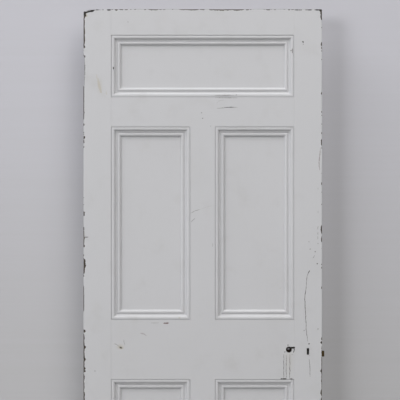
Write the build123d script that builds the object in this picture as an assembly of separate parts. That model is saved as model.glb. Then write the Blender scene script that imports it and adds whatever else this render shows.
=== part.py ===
from build123d import *
import os
from typing import NamedTuple

# A salvaged front door leaf with five sunk panels, planted mouldings on both faces and a
# horizontal mortice lock, off its hinges and with its knobs and escutcheons gone.
# It is framed as such doors are: through tenons, haunched and wedged, hold the rails between
# the stiles, stub tenons hold the muntins, and the panels float in grooves.
# X runs from the hanging edge to the closing edge, Y from the face that is seen to the face
# behind it, and Z up. The origin is the middle of the leaf's bottom edge. Sizes are millimetres.

# Leaf
leaf_width = 914
leaf_height = 2134
leaf_thickness = 45
arris_radius = 1.5

# Frame members, as the widths that show
hanging_stile_width = 106
closing_stile_width = 107
muntin_width = 95
top_rail_width = 99
frieze_rail_width = 113
lock_rail_width = 228
bottom_rail_width = 229
top_opening_height = 238
middle_opening_height = 740

# Panels and the grooves that hold them
panel_thickness = 12
groove_depth = 11
panel_edge_gap = 1

# Joints of the frame
tenon_thickness = 15
tenon_width = 50
frieze_tenon_width = 80
end_haunch = 36
wedge_butt = 7
wedge_length = 85
stub_tenon_length = 40
stub_end_gap = 1

# Planted moulding: its section, from the frame inwards and from the panel outwards
moulding_width = 38
moulding_sunk = 1.2
quirk_width = 1.8
quirk_depth = 2.7
bead_end = 12.4
bead_crown = 0.7
bead_drop = 1.5
step_width = 3.2
step_drop = 6.4
cove_end = 21.6
cove_foot = 6.5
cove_sag = 0.5
inner_quirk = 22.8
inner_quirk_foot = 5.0
astragal_start = 24.2
astragal_foot = 6.8
astragal_top = 8.2
astragal_end = 32.4
astragal_inner = 7.4
ovolo_end = 37.0
ovolo_foot = 1.3
ovolo_belly = 0.7
moulding_edge = 0.9

# Hinge housings, cut for a pair of butts
hinge_length = 114
hinge_recess = 4.5
hinge_leaf_width = 36
top_hinge_drop = 178
bottom_hinge_rise = 240
hinge_screw_radius = 2.0
hinge_screw_depth = 28
hinge_outer_pitch = 84
hinge_inner_pitch = 34
hinge_screw_inset = 12
hinge_screw_stagger = 11

# Wear that has a form of its own
corner_wear_width = 46
corner_wear_height = 12
corner_wear_belly = 2.2
chip_width = 7.5
chip_height = 42
chip_depth = 6

# Mortice lock
spindle_backset = 127
key_backset = 54
case_length = 152
case_height = 70
case_thickness = 16
case_wall = 2.5
case_fit = 0.3
forend_length = 88
forend_width = 22
forend_thickness = 3
forend_screw_spacing = 79
screw_radius = 2.0
screw_head_radius = 3.8
screw_head_depth = 2.2
screw_length = 22
spindle_hole_radius = 11
wood_keyhole_bow = 4.0
wood_keyhole_slot = 6.5
case_keyhole_bow = 3.4
case_keyhole_slot = 5.6
keyhole_drop = 18
bolt_thickness = 9.6
bolt_fit = 0.25
latch_low = 29
latch_high = 7
latch_reach = 10.5
latch_head_length = 26
latch_tip = 2.5
tail_thickness = 4
tail_height = 8
yoke_width = 4
yoke_reach = 18
yoke_clearance = 1.2
prong_inset = 12
prong_gap = 0.6
hub_radius = 9
journal_radius = 7.5
journal_fit = 0.08
horn_length = 20
horn_width = 6
spindle_square = 8
dead_low = 8
dead_high = 30
dead_throw = 14
dead_head_length = 34
dead_tail_end = 98
talon_width = 13
talon_depth = 7
post_radius = 3
post_backset = 74
post_fit = 0.3
cap_screw_radius = 1.5
cap_screw_head = 2.8
upper_cap_screw = (147, 27)
lower_cap_screw = (100, -12)

leaf_left = -leaf_width / 2
leaf_right = leaf_width / 2
face = leaf_thickness / 2
inner_left = leaf_left + hanging_stile_width
inner_right = leaf_right - closing_stile_width
opening_width = (inner_right - inner_left - muntin_width) / 2
muntin_left = inner_left + opening_width
muntin_right = muntin_left + muntin_width
panel_face = panel_thickness / 2
panel_overlap = groove_depth - panel_edge_gap

top_rail_low = leaf_height - top_rail_width
frieze_high = top_rail_low - top_opening_height
frieze_low = frieze_high - frieze_rail_width
lock_rail_high = frieze_low - middle_opening_height
lock_rail_low = lock_rail_high - lock_rail_width
lock_height = (lock_rail_high + lock_rail_low) / 2


class Rail(NamedTuple):
    """A rail between its shoulders, the edges that a panel groove is cut in, and its tenons."""

    low: float
    high: float
    grooved_below: bool
    grooved_above: bool
    tenons: tuple


class Opening(NamedTuple):
    """The sight size of a panel."""

    left: float
    right: float
    low: float
    high: float


def upper_tenon(rail_high):
    """A tenon that starts just under the panel groove in the top edge of its rail."""
    return rail_high - groove_depth - tenon_width, rail_high - groove_depth


def lower_tenon(rail_low):
    """A tenon that starts just over the panel groove in the bottom edge of its rail."""
    return rail_low + groove_depth, rail_low + groove_depth + tenon_width


frieze_middle = (frieze_low + frieze_high) / 2
rails = {
    "top_rail": Rail(
        top_rail_low, leaf_height, True, False,
        ((top_rail_low + groove_depth, leaf_height - end_haunch),),
    ),
    "frieze_rail": Rail(
        frieze_low, frieze_high, True, True,
        ((frieze_middle - frieze_tenon_width / 2, frieze_middle + frieze_tenon_width / 2),),
    ),
    "lock_rail": Rail(
        lock_rail_low, lock_rail_high, True, True,
        (lower_tenon(lock_rail_low), upper_tenon(lock_rail_high)),
    ),
    "bottom_rail": Rail(
        0, bottom_rail_width, False, True,
        ((end_haunch, end_haunch + tenon_width), upper_tenon(bottom_rail_width)),
    ),
}
muntins = {
    "middle_muntin": (lock_rail_high, frieze_low),
    "lower_muntin": (bottom_rail_width, lock_rail_low),
}
openings = {
    "top_panel": Opening(inner_left, inner_right, frieze_high, top_rail_low),
    "middle_left_panel": Opening(inner_left, muntin_left, lock_rail_high, frieze_low),
    "middle_right_panel": Opening(muntin_right, inner_right, lock_rail_high, frieze_low),
    "lower_left_panel": Opening(inner_left, muntin_left, bottom_rail_width, lock_rail_low),
    "lower_right_panel": Opening(muntin_right, inner_right, bottom_rail_width, lock_rail_low),
}


def block(x, y, z):
    """A box between a low and a high limit on each axis."""
    spans = (x, y, z)
    middle = [(low + high) / 2 for low, high in spans]
    return Pos(*middle) * Box(*[high - low for low, high in spans])


def through(x, half_thickness, z):
    """A box centred on the middle of the leaf's thickness."""
    return block(x, (-half_thickness, half_thickness), z)


def prism(outline, half_thickness):
    """A closed line drawn in X and Z, as a plate centred on the middle of the leaf's thickness."""
    return extrude(Plane.XZ * make_face(outline), half_thickness, both=True)


def rod(radius, start, length, direction):
    """A round bar from a point along a direction."""
    return extrude(Plane(start, z_dir=direction) * Circle(radius), length)


def round_arrises(solid, chosen):
    """Rounds the edges that a test picks by their middle points."""
    return fillet([e for e in solid.edges() if chosen(e)], arris_radius)


def is_long_arris(edge, x):
    """An edge along the leaf's height at x, on either face."""
    return edge.length > leaf_height / 2 and abs((edge @ 0.5).X - x) < arris_radius


def is_end_arris(edge, z):
    """An edge across a member's end at z, on either face."""
    middle = edge @ 0.5
    return abs(middle.Z - z) < arris_radius and abs(abs(middle.Y) - face) < arris_radius


def wedge_outline(edge_x, tip_x, tenon_edge, up):
    """The flare of a mortice beside a tenon, which its wedge fills: thick at the leaf's edge."""
    return Polyline(
        (tip_x, tenon_edge), (edge_x, tenon_edge), (edge_x, tenon_edge + up * wedge_butt),
        close=True,
    )


def wedges_at(edge_x, inward):
    """Every wedge at one edge of the leaf."""
    tip_x = edge_x + inward * wedge_length
    return [
        prism(wedge_outline(edge_x, tip_x, tenon_edge, up), tenon_thickness / 2)
        for rail in rails.values()
        for low, high in rail.tenons
        for tenon_edge, up in ((low, -1), (high, 1))
    ]


def mortices(stile_span, wedges):
    """What is cut from a stile for the tenons that pass through it and their wedges."""
    sockets = [
        through(stile_span, tenon_thickness / 2, tenon)
        for rail in rails.values()
        for tenon in rail.tenons
    ]
    return sockets + wedges


def make_stile(outer_x, inner_x, inward, wedges):
    """A stile with its panel groove and its mortices, and its outer arrises eased."""
    span = (min(outer_x, inner_x), max(outer_x, inner_x))
    groove_bottom = inner_x - inward * groove_depth
    groove = (min(inner_x, groove_bottom), max(inner_x, groove_bottom))
    stile = through(span, face, (0, leaf_height))
    stile = round_arrises(
        stile,
        lambda e: is_long_arris(e, outer_x) or is_end_arris(e, 0) or is_end_arris(e, leaf_height),
    )
    stile -= through(groove, panel_face, (0, leaf_height))
    return stile - mortices(span, wedges)


def hinge_housing(low):
    """A butt's housing in the hanging edge, open at the seen face, and the holes its screws left."""
    floor = leaf_left + hinge_recess
    middle = low + hinge_length / 2
    cut = block(
        (leaf_left - hinge_recess, floor),
        (-face - hinge_recess, -face + hinge_leaf_width),
        (low, low + hinge_length),
    )
    for pitch, inset in (
        (hinge_outer_pitch, hinge_screw_inset),
        (hinge_inner_pitch, hinge_screw_inset + hinge_screw_stagger),
    ):
        for side in (-1, 1):
            start = (floor, -face + inset, middle + side * pitch / 2)
            cut += rod(hinge_screw_radius, start, hinge_screw_depth, (1, 0, 0))
    return cut


def worn_corner():
    """The knocked-off top corner of the hanging stile."""
    high = leaf_height + corner_wear_height
    left = leaf_left - corner_wear_height
    start = (leaf_left, leaf_height - corner_wear_height)
    end = (leaf_left + corner_wear_width, leaf_height)
    belly = (
        (start[0] + end[0]) / 2 - corner_wear_belly,
        (start[1] + end[1]) / 2 + corner_wear_belly,
    )
    curve = ThreePointArc(start, belly, end)
    rest = Polyline(end, (end[0], high), (left, high), (left, start[1]), start)
    return prism(curve + rest, leaf_thickness)


def corner_chip():
    """The sliver broken from the seen arris at the closing stile's top corner."""
    outline = Polyline(
        (leaf_right, -face), (leaf_right - chip_width, -face), (leaf_right, -face + chip_depth),
        close=True,
    )
    section = Plane.XY.offset(leaf_height) * make_face(outline)
    tip = Plane.XY.offset(leaf_height - chip_height) * Pos(leaf_right, -face) * Circle(0.3)
    return loft([section.faces()[0], tip.faces()[0]])


def keyhole(x, bow, slot, half_thickness):
    """A keyhole: a round bow with its slot hanging under it."""
    outline = Pos(x, lock_height) * Circle(bow)
    outline += Pos(x, lock_height - keyhole_drop / 2) * Rectangle(slot, keyhole_drop)
    return extrude(Plane.XZ * outline, half_thickness, both=True)


key_x = leaf_right - key_backset
spindle_x = leaf_right - spindle_backset
forend_back = leaf_right - forend_thickness
case_back = forend_back - case_length
case_half = case_thickness / 2
cap_inside = case_half - case_wall
case_low = lock_height - case_height / 2
case_high = lock_height + case_height / 2


def lock_pocket():
    """What is cut from the stile and the lock rail for the lock's case and its forend."""
    pocket = through(
        (case_back - case_fit, leaf_right + case_fit),
        case_half + case_fit,
        (case_low - case_fit, case_high + case_fit),
    )
    forend_half = forend_length / 2
    pocket += through(
        (forend_back, leaf_right + case_fit),
        forend_width / 2,
        (lock_height - forend_half, lock_height + forend_half),
    )
    return pocket


def forend_screws(extra=0):
    """The two countersunk screws that hold the forend to the stile."""
    screws = []
    for side in (-1, 1):
        z = lock_height + side * forend_screw_spacing / 2
        head = Pos(leaf_right - screw_head_depth / 2, 0, z) * Rot(0, 90, 0) * Cone(
            screw_radius, screw_head_radius, screw_head_depth
        )
        shank = rod(screw_radius + extra, (leaf_right - screw_head_depth, 0, z),
                    screw_length - screw_head_depth, (-1, 0, 0))
        screws.append(head + shank)
    return screws


def make_rail(rail):
    """A rail: shouldered body, through tenons, haunches in the stiles' grooves, panel grooves."""
    body = through((inner_left, inner_right), face, (rail.low, rail.high))
    if rail.high == leaf_height or rail.low == 0:
        end = rail.high if rail.high == leaf_height else rail.low
        body = round_arrises(body, lambda e: e.length > muntin_width and is_end_arris(e, end))
    low = rail.low + (groove_depth if rail.grooved_below else 0)
    high = rail.high - (groove_depth if rail.grooved_above else 0)
    body += through((inner_left - groove_depth, inner_right + groove_depth), panel_face, (low, high))
    for tenon in rail.tenons:
        body += through((leaf_left, leaf_right), tenon_thickness / 2, tenon)
    if rail.grooved_below:
        body -= through((inner_left, inner_right), panel_face, (rail.low, low))
    if rail.grooved_above:
        body -= through((inner_left, inner_right), panel_face, (high, rail.high))
    return body - stub_mortices(rail)


def stub_mortices(rail):
    """Blind mortices in a rail's edges for the muntins that stand on it or hang from it."""
    depth = stub_tenon_length + stub_end_gap
    sockets = []
    for foot, head in muntins.values():
        if foot == rail.high:
            sockets.append(stub(foot - depth, foot))
        if head == rail.low:
            sockets.append(stub(head, head + depth))
    return sockets


def stub(low, high):
    """A muntin's stub tenon, between the panel grooves of its two edges."""
    return through((muntin_left + groove_depth, muntin_right - groove_depth),
                   tenon_thickness / 2, (low, high))


def make_muntin(foot, head):
    """A muntin with a panel groove in each edge and a stub tenon at each end."""
    body = through((muntin_left, muntin_right), face, (foot, head))
    for x in (muntin_left, muntin_right - groove_depth):
        body -= through((x, x + groove_depth), panel_face, (foot, head))
    return body + stub(foot - stub_tenon_length, foot) + stub(head, head + stub_tenon_length)


def make_panel(opening):
    """A flat panel that floats in the grooves round its opening."""
    return through(
        (opening.left - panel_overlap, opening.right + panel_overlap),
        panel_face,
        (opening.low - panel_overlap, opening.high + panel_overlap),
    )


def moulding_section():
    """The moulding's section: quirk, bead and step, cove, second quirk, astragal, ovolo."""
    top = face - panel_face - moulding_sunk
    bead_low = top - bead_drop
    step_low = bead_low - step_drop
    step_end = bead_end + step_width
    bead = ThreePointArc(
        (quirk_width, top - bead_crown), ((quirk_width + bead_end) / 2, top), (bead_end, bead_low)
    )
    cove = ThreePointArc(
        (step_end, step_low),
        ((step_end + cove_end) / 2 - cove_sag, (step_low + cove_foot) / 2 - cove_sag),
        (cove_end, cove_foot),
    )
    astragal = ThreePointArc(
        (astragal_start, astragal_foot),
        ((astragal_start + astragal_end) / 2, astragal_top),
        (astragal_end, astragal_inner),
    )
    ovolo = ThreePointArc(
        (astragal_end, astragal_inner),
        (
            (astragal_end + ovolo_end) / 2 + ovolo_belly,
            (astragal_inner + ovolo_foot) / 2 + ovolo_belly,
        ),
        (ovolo_end, ovolo_foot),
    )
    back = Polyline(
        (moulding_width, 0), (0, 0), (0, top - quirk_depth), (quirk_width, top - bead_crown)
    )
    groove = Polyline(
        (cove_end, cove_foot), (inner_quirk, inner_quirk_foot), (astragal_start, astragal_foot)
    )
    edge = Polyline((ovolo_end, ovolo_foot), (moulding_width, moulding_edge), (moulding_width, 0))
    return make_face([
        *back.edges(), bead, Line((bead_end, bead_low), (step_end, step_low)), cove,
        *groove.edges(), astragal, ovolo, *edge.edges(),
    ])


section_plane = Plane(origin=(0, 0, 0), x_dir=(0, 0, 1), z_dir=(1, 0, 0))
moulding_profile = moulding_section()


def moulding_strip(length):
    """A strip mitred at both ends, lying along X with its outer edge on the X axis.

    It rests on the panel's face at Y = 0 and rises from it towards -Y."""
    bar = extrude(section_plane * moulding_profile, length / 2, both=True)
    half = length / 2
    mitres = Polyline(
        (-half, 0), (half, 0), (half - moulding_width, moulding_width),
        (-half + moulding_width, moulding_width), close=True,
    )
    return bar & prism(mitres, leaf_thickness)


def opening_strips(opening, turn):
    """The four strips round an opening. turn is 0 for the seen face and 180 for the one behind."""
    x = (opening.left + opening.right) / 2
    z = (opening.low + opening.high) / 2
    y = -panel_face if turn == 0 else panel_face
    across = opening.right - opening.left
    up = opening.high - opening.low
    places = {
        "sill": (across, (x, y, opening.low), 0),
        "head": (across, (x, y, opening.high), 180),
        "left": (up, (opening.left, y, z), 90),
        "right": (up, (opening.right, y, z), -90),
    }
    return {
        name: Pos(*place) * Rot(0, angle, 0) * Rot(0, 0, turn) * moulding_strip(length)
        for name, (length, place, angle) in places.items()
    }


def make_case():
    """The lock's case: a web on the seen side, three rims, and the post that guides the bolt."""
    case = block((case_back, forend_back), (-case_half, cap_inside), (case_low, case_high))
    case -= block(
        (case_back + case_wall, forend_back), (-cap_inside, cap_inside),
        (case_low + case_wall, case_high - case_wall),
    )
    post = (leaf_right - post_backset, -cap_inside, lock_height + (dead_low + dead_high) / 2)
    case += rod(post_radius, post, 2 * cap_inside, (0, 1, 0))
    for x, z in cap_screw_places():
        boss = rod(cap_screw_head, (x, -cap_inside, z), 2 * cap_inside, (0, 1, 0))
        case += boss - rod(cap_screw_radius, (x, -cap_inside, z), 2 * cap_inside, (0, 1, 0))
    case -= rod(journal_radius + journal_fit, (spindle_x, -case_half, lock_height),
                case_wall, (0, 1, 0))
    return case - block_of_keyhole(-case_half, -cap_inside)


def cap_screw_places():
    """Where the two cap screws stand, clear of the bolts and the follower."""
    return [
        (leaf_right - backset, lock_height + rise)
        for backset, rise in (upper_cap_screw, lower_cap_screw)
    ]


def block_of_keyhole(low, high):
    """The keyhole through one side of the case, between two depths."""
    whole = keyhole(key_x, case_keyhole_bow, case_keyhole_slot, leaf_thickness)
    return whole & block((key_x - case_height, key_x + case_height), (low, high),
                         (case_low, case_high))


def make_cap():
    """The plate that closes the case on the side behind."""
    cap = block((case_back, forend_back), (cap_inside, case_half), (case_low, case_high))
    cap -= rod(journal_radius + journal_fit, (spindle_x, cap_inside, lock_height),
               case_wall, (0, 1, 0))
    for x, z in cap_screw_places():
        cap -= rod(cap_screw_head, (x, cap_inside, z), case_wall, (0, 1, 0))
    return cap - block_of_keyhole(cap_inside, case_half)


def cap_screws():
    """The two cheese-headed screws that hold the cap, their heads let into it."""
    screws = []
    for x, z in cap_screw_places():
        head = rod(cap_screw_head, (x, cap_inside, z), case_wall, (0, 1, 0))
        head -= block((x - cap_screw_head, x + cap_screw_head),
                      (case_half - case_wall / 3, case_half),
                      (z - case_wall / 6, z + case_wall / 6))
        screws.append(head + rod(cap_screw_radius, (x, 0, z), cap_inside, (0, 1, 0)))
    return screws


def make_forend():
    """The plate let into the closing edge, with its two bolt openings and its screw holes."""
    half = forend_length / 2
    plate = through((forend_back, leaf_right), forend_width / 2,
                    (lock_height - half, lock_height + half))
    opening = bolt_thickness / 2 + bolt_fit
    for low, high in ((-latch_low, -latch_high), (dead_low, dead_high)):
        plate -= through((forend_back, leaf_right), opening,
                         (lock_height + low - bolt_fit, lock_height + high + bolt_fit))
    return plate - forend_screws()


def make_latch():
    """The spring bolt: bevelled head, tail under the key's sweep, fork round the follower."""
    low = lock_height - latch_low
    high = lock_height - latch_high
    tip = leaf_right + latch_reach
    back = leaf_right + latch_reach - latch_head_length
    head = through((back, tip), bolt_thickness / 2, (low, high))
    bevel = Polyline(
        (leaf_right, bolt_thickness / 2), (tip, -bolt_thickness / 2 + latch_tip),
        (tip, bolt_thickness / 2), close=True,
    )
    head -= extrude(Plane.XY.offset(low) * make_face(bevel), high - low)
    yoke_front = spindle_x - hub_radius - yoke_clearance
    yoke_back = yoke_front - yoke_width
    prong_tip = spindle_x - horn_width / 2 - prong_gap
    tail = through((yoke_back, back), tail_thickness / 2, (low, low + tail_height))
    bar = through((yoke_back, yoke_front), tail_thickness / 2, (low, lock_height + yoke_reach))
    fork = [
        through((yoke_front, prong_tip), tail_thickness / 2, span)
        for span in (
            (lock_height + prong_inset, lock_height + yoke_reach),
            (lock_height - yoke_reach, lock_height - prong_inset),
        )
    ]
    return head + tail + bar + fork


def make_follower():
    """The follower: journals in case and cap, two horns that draw the fork, a square hole."""
    centre = (spindle_x, 0, lock_height)
    hub = Pos(*centre) * Rot(90, 0, 0) * Cylinder(hub_radius, 2 * (cap_inside - bolt_fit))
    hub += Pos(*centre) * Rot(90, 0, 0) * Cylinder(journal_radius, case_thickness)
    horns = through((spindle_x - horn_width / 2, spindle_x + horn_width / 2), tail_thickness / 2,
                    (lock_height - horn_length, lock_height + horn_length))
    hole = spindle_square / 2
    return hub + horns - through((spindle_x - hole, spindle_x + hole), leaf_thickness,
                                 (lock_height - hole, lock_height + hole))


def make_dead_bolt():
    """The dead bolt, drawn back: head, thinner tail with the key's talon and the post's slot."""
    low = lock_height + dead_low
    high = lock_height + dead_high
    head_back = leaf_right - dead_head_length
    bolt = through((head_back, leaf_right), bolt_thickness / 2, (low, high))
    bolt += through((leaf_right - dead_tail_end, head_back), tail_thickness / 2, (low, high))
    bolt -= through((key_x - talon_width / 2, key_x + talon_width / 2), leaf_thickness,
                    (low, low + talon_depth))
    slot_radius = post_radius + post_fit
    post_x = leaf_right - post_backset
    middle = (low + high) / 2
    bolt -= through((post_x - dead_throw, post_x), leaf_thickness,
                    (middle - slot_radius, middle + slot_radius))
    for x in (post_x - dead_throw, post_x):
        bolt -= rod(slot_radius, (x, -face, middle), leaf_thickness, (0, 1, 0))
    return bolt


def write(name, shape):
    """Writes one node. A list of solids is a node of separate like pieces."""
    if isinstance(shape, list):
        shape = Compound(shape)
    export_step(shape, f"parts/{name}.step")


left_wedges = wedges_at(leaf_left, 1)
right_wedges = wedges_at(leaf_right, -1)

hanging_stile = make_stile(leaf_left, inner_left, 1, left_wedges)
hanging_stile -= hinge_housing(leaf_height - top_hinge_drop - hinge_length)
hanging_stile -= hinge_housing(bottom_hinge_rise)
hanging_stile -= worn_corner()
write("hanging_stile", hanging_stile)

closing_stile = make_stile(leaf_right, inner_right, -1, right_wedges)
closing_stile -= lock_pocket()
closing_stile -= forend_screws()
closing_stile -= keyhole(key_x, wood_keyhole_bow, wood_keyhole_slot, leaf_thickness)
closing_stile -= corner_chip()
write("closing_stile", closing_stile)

for name, rail in rails.items():
    solid = make_rail(rail)
    if name == "lock_rail":
        solid -= lock_pocket()
        solid -= rod(spindle_hole_radius, (spindle_x, -face, lock_height), leaf_thickness, (0, 1, 0))
    write(name, solid)

for name, (foot, head) in muntins.items():
    write(name, make_muntin(foot, head))

write("tenon_wedges", left_wedges + right_wedges)

for name, opening in openings.items():
    write(name, make_panel(opening))
    for side, strip in opening_strips(opening, 0).items():
        write(f"seen_{name}_moulding_{side}", strip)
    behind = opening_strips(opening, 180)
    for side in ("head", "sill"):
        write(f"rear_{name}_moulding_{side}", behind[side])
    write(f"rear_{name}_moulding_sides", [behind["left"], behind["right"]])

write("lock_case", make_case())
write("lock_cap", make_cap())
write("lock_cap_screws", cap_screws())
write("lock_forend", make_forend())
write("lock_forend_screws", forend_screws())
write("latch_bolt", make_latch())
write("lock_follower", make_follower())
write("dead_bolt", make_dead_bolt())
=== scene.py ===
"""Dresses the old panelled front door leaf: worn framing, aged paint, marks, lock metal, stage."""

import math

import bpy
import numpy as np
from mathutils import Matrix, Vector


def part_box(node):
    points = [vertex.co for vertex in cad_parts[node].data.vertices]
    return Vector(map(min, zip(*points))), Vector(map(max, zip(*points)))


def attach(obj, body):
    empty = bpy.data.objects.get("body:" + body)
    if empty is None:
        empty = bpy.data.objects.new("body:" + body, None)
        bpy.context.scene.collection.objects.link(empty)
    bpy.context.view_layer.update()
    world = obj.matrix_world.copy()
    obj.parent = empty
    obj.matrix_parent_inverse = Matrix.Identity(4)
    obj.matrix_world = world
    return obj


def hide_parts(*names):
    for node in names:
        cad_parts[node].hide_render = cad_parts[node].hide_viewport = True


bl_info = {
    "name": "Old panelled front door",
    "version": (1, 0, 0),
    "blender": (4, 5, 0),
    "location": "3D View > Sidebar > Door",
    "description": "Worn paint, chipped arrises and old lock metal on a panelled door leaf",
    "category": "Object",
}

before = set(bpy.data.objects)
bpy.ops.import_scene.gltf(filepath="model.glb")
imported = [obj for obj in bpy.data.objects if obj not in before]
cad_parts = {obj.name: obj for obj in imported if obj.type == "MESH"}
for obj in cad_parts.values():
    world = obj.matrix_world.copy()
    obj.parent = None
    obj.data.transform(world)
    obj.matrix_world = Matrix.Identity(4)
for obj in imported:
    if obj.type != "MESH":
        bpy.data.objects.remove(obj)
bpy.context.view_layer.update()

MM = 0.001

# The leaf in millimetres, from the frame: FACE is half its thickness
LEAF_LOW, LEAF_HIGH = (np.array(corner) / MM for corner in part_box("hanging_stile"))
FACE = float(LEAF_HIGH[1])
THICKNESS = 2 * FACE
HEIGHT = float(LEAF_HIGH[2])
HANGING_EDGE = float(LEAF_LOW[0])
HANGING_SHOULDER = float(LEAF_HIGH[0])
CLOSING_SHOULDER = float(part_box("closing_stile")[0][0] / MM)
CLOSING_EDGE = float(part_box("closing_stile")[1][0] / MM)
TOP_RAIL_LOW = float(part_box("seen_top_panel_moulding_head")[1][2] / MM)

# CAD pieces that keep their shapes
RAILS = ("frieze_rail", "lock_rail", "bottom_rail")
MUNTINS = ("middle_muntin", "lower_muntin")
LOCK_IRON = ("lock_case", "lock_cap", "lock_cap_screws", "lock_follower")
LOCK_BRASS = ("lock_forend", "latch_bolt", "dead_bolt")
LOCK_STEEL = ("lock_forend_screws",)


def linear(red, green, blue):
    """A screen colour from 0 to 255 as the linear colour that the shaders take."""
    shares = np.array([red, green, blue]) / 255
    values = np.where(shares <= 0.04045, shares / 12.92, ((shares + 0.055) / 1.055) ** 2.4)
    return tuple(float(value) for value in values)


# Sizes and colours a user may change


def colour_setting(name, description, red, green, blue):
    """A colour that a user may change, given as on a screen, from 0 to 255."""
    return bpy.props.FloatVectorProperty(
        name=name, description=description, subtype="COLOR", size=3, min=0, max=1,
        default=linear(red, green, blue),
    )


def length_setting(name, description, low, high, default, **more):
    """A length in metres that a user may change."""
    return bpy.props.FloatProperty(
        name=name, description=description, subtype="DISTANCE", unit="LENGTH", min=low, max=high,
        default=default, **more,
    )


class DoorPaint(bpy.types.PropertyGroup):
    """The paint and what shows where it is gone."""

    paint: colour_setting("Paint", "Old off-white paint", 194, 193.5, 196)
    # The dirt colour is also what the paint darkens to lower down, as painted shade
    dirt: colour_setting("Dirt", "Handling dirt and dust on the paint", 150, 146, 138)
    stain: colour_setting("Stain", "Yellowish scuffs", 176, 166, 142)
    wood: colour_setting("Bare wood", "Dirty softwood in the chips", 74, 65, 54)
    crack: colour_setting("Crack", "Dirt in cracks and scratches", 64, 57, 52)
    rust: colour_setting("Reddish dirt", "Old red paint and rust in marks", 98, 71, 66)
    relief: length_setting("Brush relief", "How high the brush marks stand", 0, 0.001, 0.00016,
                           precision=5)


class DoorMetal(bpy.types.PropertyGroup):
    """The lock's metals and the dull crusts on them."""

    iron: colour_setting("Iron", "Dark iron of the lock", 40, 36, 34)
    iron_crust: colour_setting("Iron crust", "Rusty crust on the iron", 62, 47, 38)
    brass: colour_setting("Brass", "Dull brass of the forend and the bolts", 104, 86, 58)
    brass_crust: colour_setting("Brass crust", "Dark tarnish on the brass", 58, 48, 38)
    steel: colour_setting("Steel", "Steel of the forend's screws", 70, 66, 62)
    steel_crust: colour_setting("Steel crust", "Rust on the screws", 90, 66, 50)


class DoorWear(bpy.types.PropertyGroup):
    """How the arrises of the framing are worn."""

    arris: length_setting("Arris", "Rounding of a sound arris", 0.0002, 0.004, 0.0014,
                          precision=4)
    nibbles: bpy.props.IntProperty(
        name="Nibbles", description="Small chips along one arris of a stile", min=0, max=400,
        default=120,
    )
    nibble_depth: length_setting("Nibble depth", "Most depth of the small chips", 0, 0.006,
                                 0.0024, precision=4)
    row_spacing: length_setting("Row spacing", "Space between mesh rows along a member", 0.001,
                                0.02, 0.003)


class DoorStage(bpy.types.PropertyGroup):
    """Camera, lamps and surroundings."""

    wall: colour_setting("Wall", "Pale wall behind the leaf", 192, 191, 197)
    low_wall: colour_setting("Low wall", "The wall near the floor", 180, 179, 180)
    floor: colour_setting("Floor", "Pale floor", 130, 130, 128)
    wall_gap: length_setting("Wall gap", "Space behind the leaf", 0.01, 2, 0.08)
    camera_distance: length_setting("Camera distance", "From the camera to the leaf", 1, 20, 4.5)
    picture_width: length_setting("Picture width", "Width of the view at the leaf", 0.5, 10, 1.54)
    key_power: bpy.props.FloatProperty(
        name="Key power", description="Power that the lamps share in", subtype="POWER",
        unit="POWER", min=0, max=9000, default=558,
    )
    sky: bpy.props.FloatProperty(
        name="Surrounding light", description="Even light from all round", min=0, max=3,
        default=0.06,
    )


# Meshes


def add_mesh(name, points, faces):
    """An object from points in millimetres and faces."""
    mesh = bpy.data.meshes.new(name)
    mesh.from_pydata((np.asarray(points) * MM).tolist(), [], faces)
    mesh.update()
    made = bpy.data.objects.new(name, mesh)
    bpy.context.scene.collection.objects.link(made)
    return made


def set_values(made, name, values):
    """Gives each point of a mesh a value that the shaders read by its name."""
    values = np.ascontiguousarray(values, dtype=np.float32).ravel()
    made.data.attributes.new(name, "FLOAT", "POINT").data.foreach_set("value", values)


CORNER_ANGLE = math.radians(32)


def add_solid(name, points, faces, bare):
    """A closed piece, turned right side out by its signed volume, with crisp corners kept."""
    made = add_mesh(name, points, faces)
    set_values(made, "bare", bare)
    mesh = made.data
    mesh.shade_smooth()
    mesh.calc_loop_triangles()
    triangles = np.empty(len(mesh.loop_triangles) * 3, dtype=np.int32)
    mesh.loop_triangles.foreach_get("vertices", triangles)
    first, second, third = np.asarray(points)[triangles.reshape(-1, 3)].transpose(1, 0, 2)
    volume = np.einsum("ij,ij->i", first, np.cross(second, third)).sum() / 6
    if volume < 0:
        mesh.flip_normals()
    mesh.set_sharp_from_angle(angle=CORNER_ANGLE)
    return made


def uneven(along, spacing, seed):
    """Random heights from 0 to 1 a spacing apart, joined by smooth steps."""
    rng = np.random.default_rng(seed)
    place = (along - along.min()) / spacing
    heights = rng.random(int(place.max()) + 2)
    low = np.floor(place).astype(int)
    part = place - low
    part = part * part * (3 - 2 * part)
    return heights[low] * (1 - part) + heights[low + 1] * part


# How ragged chips are: spacings along them, and the most that raggedness deepens them
FINE_RAGGED = 2.6
COARSE_RAGGED = 9
MOST_RAGGED = 1.2
NIBBLE_LENGTHS = (2, 14)
NIBBLE_POWER = 2.5


def chipped(along, chips, seed):
    """Depth along an arris: each chip is one minus the cube of the way out from its middle, times
    a ragged share."""
    depth = np.zeros_like(along)
    for middle, length, deep in chips:
        part = np.clip(1 - np.abs(2 * (along - middle) / length) ** 3, 0, None)
        depth = np.maximum(depth, deep * part)
    fine = uneven(along, FINE_RAGGED, seed)
    coarse = uneven(along, COARSE_RAGGED, seed + 1)
    return depth * np.minimum(0.25 + 0.65 * fine + 0.5 * coarse, MOST_RAGGED)


def nibbled(low, high, count, depth, seed):
    """Random small chips along an arris, most of them shallow: a power of a random share deep."""
    rng = np.random.default_rng(seed)
    middles = rng.uniform(low, high, count)
    lengths = rng.uniform(*NIBBLE_LENGTHS, count)
    depths = depth * rng.random(count) ** NIBBLE_POWER
    return list(zip(middles, lengths, depths))


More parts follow.
